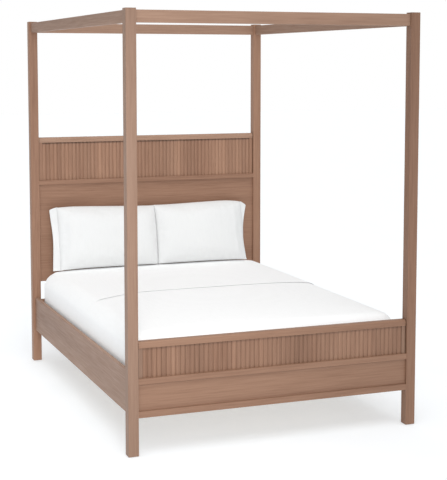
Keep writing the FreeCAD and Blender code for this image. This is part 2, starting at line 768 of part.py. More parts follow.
# Slats on the cleats, the webbing that spaces them, and the screws that hold the first and last.
slat_screws, cleat_screws, end_seats = [], [], {-1: [], 1: []}
for side, side_sign in SIDES.items():
    cleat = side + "_cleat"
    for end_sign in ENDS.values():
        name = "slat_screw%d" % len(slat_screws)
        point = ("(%d) * (side_inner - cleat_thickness / 2)" % side_sign,
                 "(%d) * (slat_count - 1) / 2 * slat_pitch" % end_sign, "slat_top")
        slat_screws.append(screw(name, "-z", "40", point))
        end_seats[end_sign].append(screw(name + "_seat", "-z", "40", point))
        pilot(cleat, name, "-z", "40", point)
    for number in range(6):
        name = "%s_screw%d" % (cleat, number)
        point = ("(%d) * (side_inner - cleat_thickness)" % side_sign,
                 "(%d - 2.5) * 380" % number, "cleat_base + cleat_height / 2")
        way = "-x" if side_sign < 0 else "+x"
        cleat_screws.append(screw(name, way, "36", point))
        countersink(cleat, name, way, "cleat_thickness", point)
        pilot(side + "_side_rail", name, way, "36", point)
for number in range(4):
    for cleat, way, length, face, host in (
        ("foot_cleat", "-y", "32", "foot_cleat_y + end_cleat_thickness", "footboard_panel"),
        ("head_cleat", "+y", "36", "head_cleat_y", "headboard_cross_rail"),
    ):
        name = "%s_screw%d" % (cleat, number)
        point = ("(%d - 1.5) * 400" % number, face, "cleat_base + cleat_height / 2")
        cleat_screws.append(screw(name, way, length, point))
        countersink(cleat, name, way, "end_cleat_thickness", point)
        pilot(host, name, way, length, point)
group("slat_screws", slat_screws)
group("cleat_screws", cleat_screws)

slats = []
last = int(value("slat_count")) - 1
for number in range(last + 1):
    step = "(%d - (slat_count - 1) / 2) * slat_pitch - slat_width / 2" % number
    slat = block("slat%d" % number, ("2 * slat_half", "slat_width", "slat_thickness"),
                 ("-slat_half", step, "slat_base"))
    if number in (0, last):
        slat = cut_from("slat%d_fixed" % number, slat, end_seats[-1 if number == 0 else 1])
    slats.append(slat)
group("slats", slats)

straps = []
for sign in SIDES.values():
    straps.append(block("strap%d" % len(straps),
                        ("strap_width", "(slat_count - 1) * slat_pitch + slat_width", "strap_thickness"),
                        ("(%d) * 400 - strap_width / 2" % sign,
                         "-(slat_count - 1) * slat_pitch / 2 - slat_width / 2",
                         "slat_base - strap_thickness")))
group("slat_straps", straps)

# Centre rail in two folded steel hangers.
beam = board(
    "centre_rail",
    ("beam_width", "beam_end - beam_start", "beam_height"),
    ("-beam_width / 2", "beam_start", "beam_base"),
)
LEGS = (("front", "leg_front_y"), ("rear", "leg_rear_y"))
for word, at in LEGS:
    drill(beam, "centre_rail_%s_bolt" % word, "+z", "leg_bolt_radius", "leg_bolt_up",
          ("beam_width / 2", at + " - beam_start", "0"))

hangers, hanger_screws = [], []
for word, sign in (("foot", 1), ("head", -1)):
    name = word + "_hanger"
    back = "beam_start - hanger_gauge" if sign > 0 else "beam_end"
    tray_low = "beam_start" if sign > 0 else "beam_end - hanger_length"
    plate = block(name + "_back", ("2 * hanger_flange", "hanger_gauge", "cleat_height"),
                  ("-hanger_flange", back, "cleat_base"))
    base = block(name + "_base", ("beam_width + 2 * hanger_gauge", "hanger_length + hanger_gauge", "hanger_gauge"),
                 ("-beam_width / 2 - hanger_gauge", back if sign > 0 else tray_low, "beam_base - hanger_gauge"))
    lip = block(name + "_lip", ("beam_width + 2 * hanger_gauge", "hanger_gauge", "cleat_base - beam_base + hanger_gauge"),
                ("-beam_width / 2 - hanger_gauge", back, "beam_base - hanger_gauge"))
    cheeks = []
    for cheek_word, corner_x in (("l", "-beam_width / 2 - hanger_gauge"), ("r", "beam_width / 2")):
        cheeks.append(block(name + "_cheek_" + cheek_word, ("hanger_gauge", "hanger_length", "cleat_height - 5"),
                            (corner_x, tray_low, "beam_base - hanger_gauge")))
    folded = doc.addObject("Part::MultiFuse", name + "_folded")
    folded.Shapes = [plate, base, lip] + cheeks
    seats = []
    inner_face = "beam_start" if sign > 0 else "beam_end"
    into_cleat = "-y" if sign > 0 else "+y"
    for across_sign in (-1, 1):
        point = ("(%d) * (hanger_flange - 10)" % across_sign, inner_face, "cleat_base + cleat_height / 2")
        label = "%s_screw%d" % (name, across_sign + 1)
        hanger_screws.append(screw(label, into_cleat, "18", point))
        seats.append(screw(label + "_seat", into_cleat, "18", point))
        pilot(word + "_cleat", label, into_cleat, "18", point)
    point = ("0", "(%s) + (%d) * 28" % (inner_face, sign), "beam_base - hanger_gauge")
    hanger_screws.append(screw(name + "_up_screw", "+z", "24", point))
    seats.append(screw(name + "_up_seat", "+z", "24", point))
    pilot("centre_rail", name, "+z", "24", point)
    hangers.append(cut_from(name + "_done", folded, seats))
group("centre_rail_hangers", hangers)
group("hanger_screws", hanger_screws)

# Centre legs, their bolts, threaded inserts and levelling feet.
bolts, inserts = [], []
for word, at in LEGS:
    leg = board(
        "centre_%s_leg" % word,
        ("leg_side", "leg_side", "beam_base - leg_base"),
        ("-leg_side / 2", at + " - leg_side / 2", "leg_base"),
        eased="z",
    )
    mid = "leg_side / 2"
    drill(leg, word + "_leg_bolt_hole", "-z", "leg_bolt_radius", "leg_bolt_down", (mid, mid, "beam_base - leg_base"))
    drill(leg, word + "_leg_insert_hole", "+z", "insert_radius", "insert_height", (mid, mid, "0"))
    drill(leg, word + "_leg_stem_room", "+z", "stem_radius + 1", "stem_room", (mid, mid, "0"))
    bolts.append(rod(word + "_leg_bolt", "+z", "leg_bolt_radius", "leg_bolt_down + leg_bolt_up",
                     ("0", at, "beam_base - leg_bolt_down")))
    flange = rod(word + "_insert_flange", "+z", "insert_flange_radius", "insert_flange_height",
                 ("0", at, "leg_base - insert_flange_height"))
    barrel = rod(word + "_insert_barrel", "+z", "insert_radius", "insert_height", ("0", at, "leg_base"))
    blank = doc.addObject("Part::Fuse", word + "_insert_blank")
    blank.Base = flange
    blank.Tool = barrel
    bore = rod(word + "_insert_bore", "+z", "stem_radius + stem_clearance", "insert_height + insert_flange_height",
               ("0", at, "leg_base - insert_flange_height"))
    inserts.append(cut_from(word + "_insert", blank, [bore]))
    foot = doc.addObject("Part::Fuse", word + "_foot_whole")
    foot.Base = rod(word + "_foot_pad", "+z", "pad_radius", "pad_height", ("0", at, "0"))
    foot.Tool = rod(word + "_foot_stem", "+z", "stem_radius", "stem_top", ("0", at, "0"))
    finish(foot, word + "_levelling_foot")
group("leg_bolts", bolts)
group("leg_inserts", inserts)


# Mattress, top sheet and pillows: plain forms of the outer shape. The mattress and pillows are
# closed shells round an air space, so that their mass comes out near that of the springs and fill.
def soften(name, source, edges, radius):
    """Round chosen edges of a Part solid."""
    fillet = doc.addObject("Part::Fillet", name)
    fillet.Base = source
    fillet.Edges = [(number, radius, radius) for number in edges]
    doc.recompute()
    return fillet


def rim(shape, height):
    """Edges that lie wholly at one height."""
    found = []
    for number, edge in enumerate(shape.Edges, start=1):
        box = edge.BoundBox
        if abs(box.ZMin - height) < 0.01 and abs(box.ZMax - height) < 0.01:
            found.append(number)
    return found


def mattress_form(name, wall):
    """The mattress outline, set in from its outer surface by a wall."""
    inset = " - 2 * (%s)" % wall
    box = block(name + "_box",
                ("2 * mattress_half_x" + inset, "2 * mattress_half_y" + inset,
                 "mattress_top - mattress_base" + inset),
                ("%s - mattress_half_x" % wall, "%s - mattress_half_y" % wall, "mattress_base + %s" % wall))
    doc.recompute()
    low, high = box.Shape.BoundBox.ZMin, box.Shape.BoundBox.ZMax
    reduce = value("mattress_wall") if wall != "0" else 0.0
    upright = [int(edge[4:]) for edge in edges_along(box.Shape, "z")]
    form = soften(name + "_corners", box, upright, value("mattress_corner") - reduce)
    form = soften(name + "_upper", form, rim(form.Shape, high), value("mattress_edge") - reduce)
    return soften(name + "_lower", form, rim(form.Shape, low), 20.0 - reduce)


mattress = doc.addObject("Part::Cut", "mattress_shell")
mattress.Base = mattress_form("mattress_outside", "0")
mattress.Tool = mattress_form("mattress_inside", "mattress_wall")
finish(mattress, "mattress")

finish(block("cover_slab", ("2 * cover_half_x", "cover_end - cover_start", "cover_thickness"),
             ("-cover_half_x", "cover_start", "mattress_top")), "top_sheet")


def pillow_form(name, wall, corner):
    """A pillow outline, set in from its outer surface by a wall, leaning back."""
    inset = " - 2 * (%s)" % wall
    box = doc.addObject("Part::Box", name + "_box")
    for prop, formula in (("Length", "pillow_width"), ("Width", "pillow_thickness"), ("Height", "pillow_height")):
        bind(box, prop, formula + inset)
    lean = Rotation(Vector(1, 0, 0), -PILLOW_LEAN)
    reach = lean.multVec(Vector(0, value("pillow_thickness") / 2, value("pillow_height") / 2))
    reduce = value("pillow_wall") if wall != "0" else 0.0
    shift = lean.multVec(Vector(0, reduce, reduce))
    doc.recompute()
    form = soften(name + "_round", box, range(1, 13), value("pillow_round") - reduce)
    place(form, ("%s + %s" % (corner, wall),
                 "pillow_y - (%.4f)" % (reach.y - shift.y),
                 "pillow_z - (%.4f)" % (reach.z - shift.z)), lean)
    return form


for side, sign in SIDES.items():
    near_x = "-pillow_width - pillow_inner_x" if sign < 0 else "pillow_inner_x"
    pillow = doc.addObject("Part::Cut", side + "_pillow_shell")
    pillow.Base = pillow_form(side + "_pillow_outside", "0", near_x)
    pillow.Tool = pillow_form(side + "_pillow_inside", "pillow_wall", near_x)
    finish(pillow, side + "_pillow")

doc.recompute()

for item in doc.Objects:
    if "Invalid" in item.State or "Error" in item.State:
        raise RuntimeError("%s failed: %s" % (item.Name, item.State))

for piece in NODES:
    shape = piece.Shape
    if shape.isNull() or not shape.isValid() or shape.Volume < 1:
        raise RuntimeError(piece.Label + " has no valid shape")
    shape.exportStep("parts/%s.step" % piece.Label)
    box = shape.BoundBox
    print("%-24s %2d solids  x %8.1f %8.1f  y %8.1f %8.1f  z %8.1f %8.1f" % (
        piece.Label, len(shape.Solids), box.XMin, box.XMax, box.YMin, box.YMax, box.ZMin, box.ZMax))
print(len(NODES), "sub-parts")
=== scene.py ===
import math

import bmesh
import bpy
import numpy as np
from mathutils import Euler, Matrix, Vector, noise


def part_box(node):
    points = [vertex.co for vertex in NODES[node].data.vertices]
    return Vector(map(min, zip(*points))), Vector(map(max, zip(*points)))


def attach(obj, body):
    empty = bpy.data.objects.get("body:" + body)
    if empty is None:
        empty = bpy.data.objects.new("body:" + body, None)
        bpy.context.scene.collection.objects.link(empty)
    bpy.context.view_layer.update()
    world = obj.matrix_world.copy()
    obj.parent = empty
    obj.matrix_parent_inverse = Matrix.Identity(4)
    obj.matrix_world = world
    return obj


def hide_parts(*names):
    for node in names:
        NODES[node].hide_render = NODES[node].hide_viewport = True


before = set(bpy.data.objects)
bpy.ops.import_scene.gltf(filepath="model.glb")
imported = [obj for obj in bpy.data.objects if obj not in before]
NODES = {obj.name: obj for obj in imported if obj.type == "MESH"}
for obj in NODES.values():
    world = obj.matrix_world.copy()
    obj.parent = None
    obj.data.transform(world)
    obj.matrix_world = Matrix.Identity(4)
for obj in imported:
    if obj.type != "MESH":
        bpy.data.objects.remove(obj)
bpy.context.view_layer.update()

scene = bpy.context.scene
scene.view_settings.view_transform = "Standard"


# ---------------------------------------------------------------- camera, lights and room

CAMERA_DOWN, CAMERA_TURN = 5.48, -21.1  # degrees: below level, and from the Y axis
BOX_PLACE, BOX_AIM = Vector((-1.7, -4.9, 2.3)), Vector((-0.9, -0.9, 1.1))
ROOM_MIDDLE, ROOM_SIDES = 0.79, 0.40

lens = bpy.data.cameras.new("photo_lens")
lens.sensor_width = 36.0
lens.lens = 92.7
lens.shift_y = -0.12
camera = bpy.data.objects.new("photo_camera", lens)
camera.location = (-2.518, -6.847, 1.947)
camera.rotation_euler = Euler((math.radians(90.0 - CAMERA_DOWN), 0.0, math.radians(CAMERA_TURN)))
scene.collection.objects.link(camera)
scene.camera = camera


def light(name, kind, toward, **settings):
    """Adds a light. toward is the way from what it lights to the light."""
    data = bpy.data.lights.new(name, kind)
    for key, value in settings.items():
        setattr(data, key, value)
    lamp = bpy.data.objects.new(name, data)
    lamp.rotation_euler = Vector(toward).to_track_quat("Z", "Y").to_euler()
    scene.collection.objects.link(lamp)
    return lamp


light("window_light", "SUN", (-0.14, -0.36, 0.92), energy=1.12, angle=math.radians(50.0))
soft_box = light("soft_box", "AREA", BOX_PLACE - BOX_AIM, shape="SQUARE", size=1.8, energy=13.2,
                 spread=math.radians(60.0))
soft_box.location = BOX_PLACE

# a white room: seen as plain white, a little dimmer as a light, and dimmest at its two sides
world = bpy.data.worlds.new("studio")
scene.world = world
world.use_nodes = True
tree = world.node_tree
room = tree.nodes["Background"]
room.inputs["Color"].default_value = (1.0, 1.0, 1.0, 1.0)
seen = tree.nodes.new("ShaderNodeLightPath")
split = tree.nodes.new("ShaderNodeSeparateXYZ")
sideways = tree.nodes.new("ShaderNodeMath")
sideways.operation = "ABSOLUTE"
dim = tree.nodes.new("ShaderNodeMapRange")
dim.inputs["To Min"].default_value = ROOM_MIDDLE
dim.inputs["To Max"].default_value = ROOM_SIDES
level = tree.nodes.new("ShaderNodeMapRange")
level.inputs["To Max"].default_value = 1.0
for output, socket in (
    (tree.nodes.new("ShaderNodeTexCoord").outputs["Generated"], split.inputs["Vector"]),
    (split.outputs["X"], sideways.inputs[0]),
    (sideways.outputs[0], dim.inputs["Value"]),
    (dim.outputs["Result"], level.inputs["To Min"]),
    (seen.outputs["Is Camera Ray"], level.inputs["Value"]),
    (level.outputs["Result"], room.inputs["Strength"]),
):
    tree.links.new(output, socket)


# ---------------------------------------------------------------- materials

class Net:
    """A small writer of node trees: most calls add a node and return its output."""

    def __init__(self, name):
        self.material = bpy.data.materials.new(name)
        self.material.use_nodes = True
        self.tree = self.material.node_tree
        self.tree.nodes.clear()
        self.shader = self.add("ShaderNodeBsdfPrincipled")
        out = self.add("ShaderNodeOutputMaterial")
        self.join(self.shader.outputs["BSDF"], out.inputs["Surface"])
        self.where = self.add("ShaderNodeTexCoord").outputs["Object"]

    def add(self, kind, **settings):
        node = self.tree.nodes.new(kind)
        for key, value in settings.items():
            setattr(node, key, value)
        return node

    def join(self, output, socket):
        self.tree.links.new(output, socket)

    def feed(self, socket, value):
        """Links an output to a socket, or sets its plain value."""
        if hasattr(value, "is_linked"):
            self.join(value, socket)
        else:
            socket.default_value = value

    def math(self, operation, a, b=0.0):
        node = self.add("ShaderNodeMath", operation=operation)
        self.feed(node.inputs[0], a)
        self.feed(node.inputs[1], b)
        return node.outputs[0]

    def blend(self, *parts):
        """The sum of some values, each times its weight."""
        scaled = [self.math("MULTIPLY", value, weight) for value, weight in parts]
        total = scaled[0]
        for value in scaled[1:]:
            total = self.math("ADD", total, value)
        return total

    def axes(self):
        """The place's X, Y and Z as separate outputs."""
        split = self.add("ShaderNodeSeparateXYZ")
        self.join(self.where, split.inputs["Vector"])
        return split.outputs

    def chance(self, value):
        """A random number from 0 to 1 for each whole part of a value."""
        node = self.add("ShaderNodeTexWhiteNoise", noise_dimensions="1D")
        self.join(self.math("FLOOR", value), node.inputs["W"])
        return node.outputs["Value"]

    def stretched(self, scale, shift=(0.0, 0.0, 0.0)):
        node = self.add("ShaderNodeMapping")
        self.join(self.where, node.inputs["Vector"])
        node.inputs["Scale"].default_value = scale
        node.inputs["Location"].default_value = shift
        return node.outputs["Vector"]

    def noise(self, vector, scale, detail=3.0, rough=0.5, twist=0.0):
        node = self.add("ShaderNodeTexNoise")
        self.join(vector, node.inputs["Vector"])
        node.inputs["Scale"].default_value = scale
        node.inputs["Detail"].default_value = detail
        node.inputs["Roughness"].default_value = rough
        node.inputs["Distortion"].default_value = twist
        return node.outputs["Fac"]

    def ramp(self, factor, stops):
        node = self.add("ShaderNodeValToRGB")
        self.join(factor, node.inputs["Fac"])
        items = node.color_ramp.elements
        for index, (position, colour) in enumerate(stops):
            item = items[index] if index < 2 else items.new(position)
            item.position = position
            item.color = (*colour, 1.0)
        return node.outputs["Color"]

    def spread(self, factor, low, high, out_low, out_high):
        """Maps low..high to out_low..out_high, and clamps."""
        node = self.add("ShaderNodeMapRange")
        self.join(factor, node.inputs["Value"])
        ends = {"From Min": low, "From Max": high, "To Min": out_low, "To Max": out_high}
        for key, value in ends.items():
            node.inputs[key].default_value = value
        return node.outputs["Result"]

    def times(self, colour, factor):
        """A colour made lighter or darker by a number."""
        node = self.add("ShaderNodeMix", data_type="RGBA", blend_type="MULTIPLY")
        node.inputs["Factor"].default_value = 1.0
        self.join(colour, node.inputs["A"])
        grey = self.add("ShaderNodeCombineColor")
        for key in ("Red", "Green", "Blue"):
            self.feed(grey.inputs[key], factor)
        self.join(grey.outputs["Color"], node.inputs["B"])
        return node.outputs["Result"]

    def bump(self, height, strength, distance, under=None):
        node = self.add("ShaderNodeBump")
        node.inputs["Strength"].default_value = strength
        node.inputs["Distance"].default_value = distance
        self.join(height, node.inputs["Height"])
        if under is not None:
            self.join(under, node.inputs["Normal"])
        return node.outputs["Normal"]

    def surface(self, colour, roughness, normal, plain=()):
        """Links the shader, sets its plain numbers and returns the material."""
        self.join(colour, self.shader.inputs["Base Color"])
        self.join(roughness, self.shader.inputs["Roughness"])
        self.join(normal, self.shader.inputs["Normal"])
        for key, value in dict(plain).items():
            self.shader.inputs[key].default_value = value
        return self.material


GRAIN = {"x": (0.035, 1.0, 1.0), "y": (1.0, 0.035, 1.0), "z": (1.0, 1.0, 0.035)}
EVEN = (1, 1, 1)
STRIPS = 58         # in each reeded row
STRIP_GAP = 0.0002  # between two strips
STRIPS_IN_RUN = 7.3


def strip_tone(net, first_x, pitch, top_z, under_rail_shade):
    """A tone for each strip and each run of strips, darker at the strips' edges: partly finish
    gathered in the joints, partly painted shade in the grooves between strips.

    The last argument is the tone of the painted shadow at the strips' upper ends, under the rail
    above them.
    """
    place = net.axes()
    index = net.math("DIVIDE", net.math("SUBTRACT", place["X"], first_x), pitch)
    run = net.math("DIVIDE", index, STRIPS_IN_RUN)
    tone = net.math("ADD", net.spread(net.chance(index), 0, 1, 0.93, 1.05),
                    net.spread(net.chance(run), 0, 1, -0.07, 0.05))
    edge = net.math("ABSOLUTE", net.math("SUBTRACT", net.math("FRACT", index), 0.5))
    # darker edges: partly finish gathered in the joints, partly painted shade in the grooves
    tone = net.math("MULTIPLY", tone, net.spread(edge, 0.38, 0.5, 1.0, 0.86))
    # painted shadow along the strips' upper ends, under the rail above them
    return net.math("MULTIPLY", tone,
                    net.spread(place["Z"], top_z - 0.013, top_z - 0.006, 1.0, under_rail_shade))


def painted_gap_shade(net, inner_x, low_z, high_z):
    """Paints shade into the gap beside a post, from |x| = inner_x outward, between two heights.
    """
    place = net.axes()
    beside = net.spread(net.math("ABSOLUTE", place["X"]), inner_x, inner_x + 0.0015, 0.0, 1.0)
    above = net.spread(place["Z"], low_z, low_z + 0.004, 0.0, 1.0)
    below = net.spread(place["Z"], high_z - 0.004, high_z, 1.0, 0.0)
    inside = net.math("MULTIPLY", beside, net.math("MULTIPLY", above, below))
    # painted shade: the gap beside the post made darker
    return net.math("SUBTRACT", 1.0, net.math("MULTIPLY", inside, 0.62))


def wood(name, along, tones, rough=0.5, strip=None, gap_shade=None, tone_and_painted_light=1.0):
    """Straight-grained timber in three tones, all times one factor that holds both
    the board's own tone and painted light or shade for how brightly the part is lit.

    The strip argument holds what strip_tone takes, and the argument after it where shade is
    painted into the gap beside a post.
    """
    net = Net(name)
    scale = GRAIN[along]
    fine_scale = tuple(0.5 * s if s < 1 else s for s in scale)
    board = net.noise(net.stretched(scale, (3.1, 1.7, 5.3)), 7.0, 2.0, 0.5, 0.3)
    streak = net.noise(net.stretched(scale), 120.0, 4.0, 0.62, 0.15)
    pore = net.noise(net.stretched(fine_scale, (9.0, 4.0, 2.0)), 620.0, 2.0, 0.5)
    mixed = net.blend((board, 0.42), (streak, 0.40), (pore, 0.18))
    # the factor scales the tones for the board's own tone and for painted light and shade
    dark, middle, pale = (tuple(tone_and_painted_light * c for c in tone) for tone in tones)
    colour = net.ramp(mixed, [(0.34, dark), (0.66, pale), (0.5, middle)])
    # each strip's tone, with painted shade in its grooves and under the rail above
    if strip:
        colour = net.times(colour, strip_tone(net, *strip))
    # painted shade in the gap beside a post
    if gap_shade:
        colour = net.times(colour, painted_gap_shade(net, *gap_shade))
    roughness = net.spread(streak, 0.3, 0.7, rough + 0.08, rough - 0.06)
    normal = net.bump(pore, 0.25, 0.0003, net.bump(streak, 0.20, 0.0006))
    return net.surface(colour, roughness, normal, {"Specular IOR Level": 0.35})


def reeded(end, under_rail_shade, tone_and_painted_light):
    """The timber of a row of strips, each with its own tone, with painted shade between the
    strips and painted shadow under the rail above them.
    """
    low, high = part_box(end + "_reeds")
    pitch = (high[0] - low[0] + STRIP_GAP) / STRIPS
    strip = (low[0] - STRIP_GAP / 2, pitch, high[2], under_rail_shade)
    return wood(end + "_reeded_timber", "z", BOARD_TONE_AND_SHADE, 0.52, strip=strip, tone_and_painted_light=tone_and_painted_light)


def metal(name, colour, rough, metallic=1.0):
    """Plated or painted steel with a faint mottled finish."""
    net = Net(name)
    cloud = net.noise(net.stretched(EVEN), 240.0, 4.0, 0.6)
    dim = tuple(0.8 * c for c in colour)
    return net.surface(net.ramp(cloud, [(0.35, dim), (0.65, colour)]),
                       net.spread(cloud, 0.3, 0.7, rough - 0.06, rough + 0.10),
                       net.bump(cloud, 0.12, 0.0002), {"Metallic": metallic})


def plastic(name, colour):
    """Moulded plastic with a fine spark texture."""
    net = Net(name)
    grain = net.noise(net.stretched(EVEN), 900.0, 2.0, 0.5)
    lit = tuple(1.35 * c for c in colour)
    return net.surface(net.ramp(grain, [(0.3, colour), (0.7, lit)]),
                       net.spread(grain, 0.3, 0.7, 0.45, 0.6),
                       net.bump(grain, 0.2, 0.0002))


def cotton(name, colour, thread=0.0009, sheen=0.25, crease=0.0):
    """Plain-woven cotton: crossed sets of threads, faint slubs and a soft bloom."""
    net = Net(name)
    plain = net.stretched(EVEN)
    threads = []
    for direction in ("X", "Y", "Z"):
        wave = net.add("ShaderNodeTexWave", wave_type="BANDS", bands_direction=direction)
        net.join(plain, wave.inputs["Vector"])
        wave.inputs["Scale"].default_value = 0.314 / thread
        wave.inputs["Distortion"].default_value = 0.6
        wave.inputs["Detail"].default_value = 1.0
        threads.append(wave.outputs["Fac"])
    weave = net.math("MAXIMUM", net.math("MAXIMUM", threads[0], threads[1]), threads[2])
    slub = net.noise(net.stretched((1, 0.25, 0.25)), 70.0, 3.0, 0.6)
    dim = tuple(0.955 * c for c in colour)
    shade = net.blend((weave, 0.35), (slub, 0.65))
    normal = net.bump(weave, 0.25, 0.00025)
    if crease:
        ripple = net.noise(net.stretched((1.0, 0.6, 1.0)), 6.0, 3.0, 0.55, 0.6)
        normal = net.bump(ripple, 0.5, crease, normal)
    return net.surface(net.ramp(shade, [(0.30, dim), (0.62, colour)]),
                       net.spread(slub, 0.3, 0.7, 0.92, 0.82), normal,
                       {"Sheen Weight": sheen, "Sheen Roughness": 0.5, "Specular IOR Level": 0.2})


# ---------------------------------------------------------------- finishes for the CAD nodes

TAUPE = ((0.262, 0.150, 0.100), (0.345, 0.208, 0.143), (0.413, 0.258, 0.183))
# a darker, redder tint: partly the boards' own tone, partly painted shade for parts that sit
# recessed, deeper in the bed or further from the light
BOARD_TONE_AND_SHADE = ((0.236, 0.123, 0.076), (0.312, 0.171, 0.109), (0.375, 0.215, 0.140))
BIRCH = ((0.46, 0.34, 0.22), (0.60, 0.46, 0.31), (0.70, 0.56, 0.40))
FOOT_GAP_SHADE = (0.7475, 0.394, 0.545)  # where shade is painted in the footboard stiles' gap beside the posts

# each factor below mixes the timber's own tone with painted light and shade, set for how brightly
# each part is lit
FINISH = {
    wood("post_timber", "z", TAUPE, tone_and_painted_light=0.79): ["front_left_post"],
    # the stiles carry painted shade in the gap beside the posts
    wood("foot_stile_timber", "z", TAUPE, gap_shade=FOOT_GAP_SHADE, tone_and_painted_light=0.80): [
        "footboard_left_stile", "footboard_right_stile"],
    # painted shade: this post is made darker for the light falling off toward the right
    wood("right_post_timber_painted_shade", "z", BOARD_TONE_AND_SHADE, tone_and_painted_light=0.83): ["front_right_post"],
    wood("rear_post_timber", "z", BOARD_TONE_AND_SHADE, tone_and_painted_light=1.04): [
        "rear_left_post", "rear_right_post", "centre_front_leg", "centre_rear_leg",
        "headboard_left_stile", "headboard_right_stile"],
    wood("cross_timber", "x", TAUPE, tone_and_painted_light=0.95): ["canopy_front_rail"],
    wood("rear_rail_timber", "x", TAUPE, tone_and_painted_light=1.06): ["canopy_rear_rail"],
    # painted highlight: the cap is made lighter where its top edge catches the light
    wood("cap_timber_painted_highlight", "x", TAUPE, tone_and_painted_light=1.08): ["headboard_cap_rail"],
    wood("footboard_timber", "x", BOARD_TONE_AND_SHADE, tone_and_painted_light=0.87): [
        "footboard_cap_rail", "footboard_mid_rail", "footboard_bottom_rail", "footboard_panel"],
    # painted shade: these rails are made darker for their side faces, which get less light
    wood("side_timber_painted_shade", "y", TAUPE, tone_and_painted_light=0.89): [
        "canopy_left_rail", "canopy_right_rail", "left_side_rail", "right_side_rail"],
    wood("panel_timber", "x", BOARD_TONE_AND_SHADE, 0.54, tone_and_painted_light=1.02): [
        "headboard_panel", "headboard_mid_rail", "headboard_cross_rail",
        "headboard_reed_backing", "footboard_reed_backing"],
    # the reeds carry painted shadow under the rail above them, strongest on the headboard
    reeded("headboard", 0.45, 1.06): ["headboard_reeds"],
    reeded("footboard", 0.80, 0.88): ["footboard_reeds"],
    wood("birch_along_x", "x", BIRCH, 0.62): [
        "slats", "foot_cleat", "head_cleat", "canopy_dowels", "headboard_dowels",
        "footboard_dowels"],
    wood("birch_along_y", "y", BIRCH, 0.62): ["left_cleat", "right_cleat", "centre_rail"],
    metal("zinc_plate", (0.62, 0.62, 0.60), 0.36): [
        "canopy_rods", "canopy_barrel_nuts", "plate_screws", "cleat_screws", "slat_screws",
        "hanger_screws", "leg_bolts", "leg_inserts"],
    metal("black_steel", (0.05, 0.05, 0.055), 0.5, 0.4): [
        "post_slot_plates", "rail_hook_plates", "centre_rail_hangers"],
    plastic("black_plastic", (0.035, 0.035, 0.035)): [
        "front_left_glide", "front_right_glide", "rear_left_glide", "rear_right_glide",
        "front_levelling_foot", "rear_levelling_foot"],
    cotton("webbing_tape", (0.70, 0.68, 0.63), 0.0018, 0.1): ["slat_straps"],
}
for finish, names in FINISH.items():
    for name in names:
        for place in NODES[name].material_slots:
            place.material = finish


# ---------------------------------------------------------------- helpers for the soft pieces

def mesh_object(name, points, faces):
    mesh = bpy.data.meshes.new(name)
    mesh.from_pydata([tuple(p) for p in points], [], faces)
    mesh.update()
    mesh.shade_smooth()
    piece = bpy.data.objects.new(name, mesh)
    scene.collection.objects.link(piece)
    return piece


def baked(piece):
    """Replaces a piece's mesh by what its modifiers make of it."""
    bpy.context.view_layer.update()
    graph = bpy.context.evaluated_depsgraph_get()
    made = bpy.data.meshes.new_from_object(piece.evaluated_get(graph))
    piece.modifiers.clear()
    old = piece.data
    piece.data = made
    bpy.data.meshes.remove(old)
    made.shade_smooth()


def smoothed(piece):
    """Adds one level of subdivision."""
    refine = piece.modifiers.new("smooth", "SUBSURF")
    refine.levels = refine.render_levels = 1


def co_of(piece):
    flat = np.zeros(len(piece.data.vertices) * 3, np.float32)
    piece.data.vertices.foreach_get("co", flat)
    return flat.reshape(-1, 3).astype(float)


def set_co(piece, points):
    piece.data.vertices.foreach_set("co", np.asarray(points, np.float32).ravel())
    piece.data.update()


def inflate(piece, pressure, frames, stiffness, bending):
    """Blender's cloth, blown up from inside with no gravity, then applied."""
    cloth = piece.modifiers.new("fill", "CLOTH")
    settings = cloth.settings
    settings.quality = 6
    settings.mass = 0.25
    settings.tension_stiffness = stiffness
    settings.compression_stiffness = stiffness
    settings.shear_stiffness = stiffness * 0.5
    settings.bending_stiffness = bending
    settings.use_pressure = True
    settings.uniform_pressure_force = pressure
    settings.effector_weights.gravity = 0.0
    cloth.collision_settings.use_collision = False
    cloth.collision_settings.use_self_collision = False
    cloth.point_cache.frame_start = 1
    cloth.point_cache.frame_end = frames
    for number in range(1, frames + 1):
        scene.frame_set(number)
    baked(piece)
    scene.frame_set(1)


def islands_of(work):
    """The separate closed skins of a bmesh, as lists of vertices."""
    seen, islands = set(), []
    for start in work.verts:
        if start in seen:
            continue
        stack, island = [start], []
        seen.add(start)
        while stack:
            vert = stack.pop()
            island.append(vert)
            for edge in vert.link_edges:
                other = edge.other_vert(vert)
                if other not in seen:
                    seen.add(other)
                    stack.append(other)
        islands.append(island)
    return islands


def outer_skin(node, name):
    """The outside of a hollow CAD solid as a new piece."""
    piece = NODES[node].copy()
    piece.data = NODES[node].data.copy()
    piece.name = name
    for key in list(piece.keys()):
        del piece[key]
    piece.parent = None
    piece.hide_render = False
    piece.hide_viewport = False
    scene.collection.objects.link(piece)
    work = bmesh.new()
    work.from_mesh(piece.data)
    bmesh.ops.remove_doubles(work, verts=work.verts, dist=1e-5)
    low, high = (Vector(corner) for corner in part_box(node))
    middle = (low + high) / 2
    islands = islands_of(work)
    islands.sort(key=lambda group: max((v.co - middle).length for v in group))
    inner = [v for group in islands[:-1] for v in group]
    bmesh.ops.delete(work, geom=inner, context="VERTS")
    work.to_mesh(piece.data)
    work.free()
    piece.data.materials.clear()
    return piece


# ---------------------------------------------------------------- mattress in its fitted sheet

RAIL_TOP = 0.40   # height below which the frame hides the mattress
TOP_FACE = 0.58   # height above which a point is on the mattress's top
SIDE_FADE = 0.18  # over which the sinking of the edge fades down the sides
CROWN = 0.010     # how far the middle of the top stands up
EDGE_SINK, SINK_HALF_WIDTH, SINK_TO_FOOT = 0.020, 0.76, 1.014


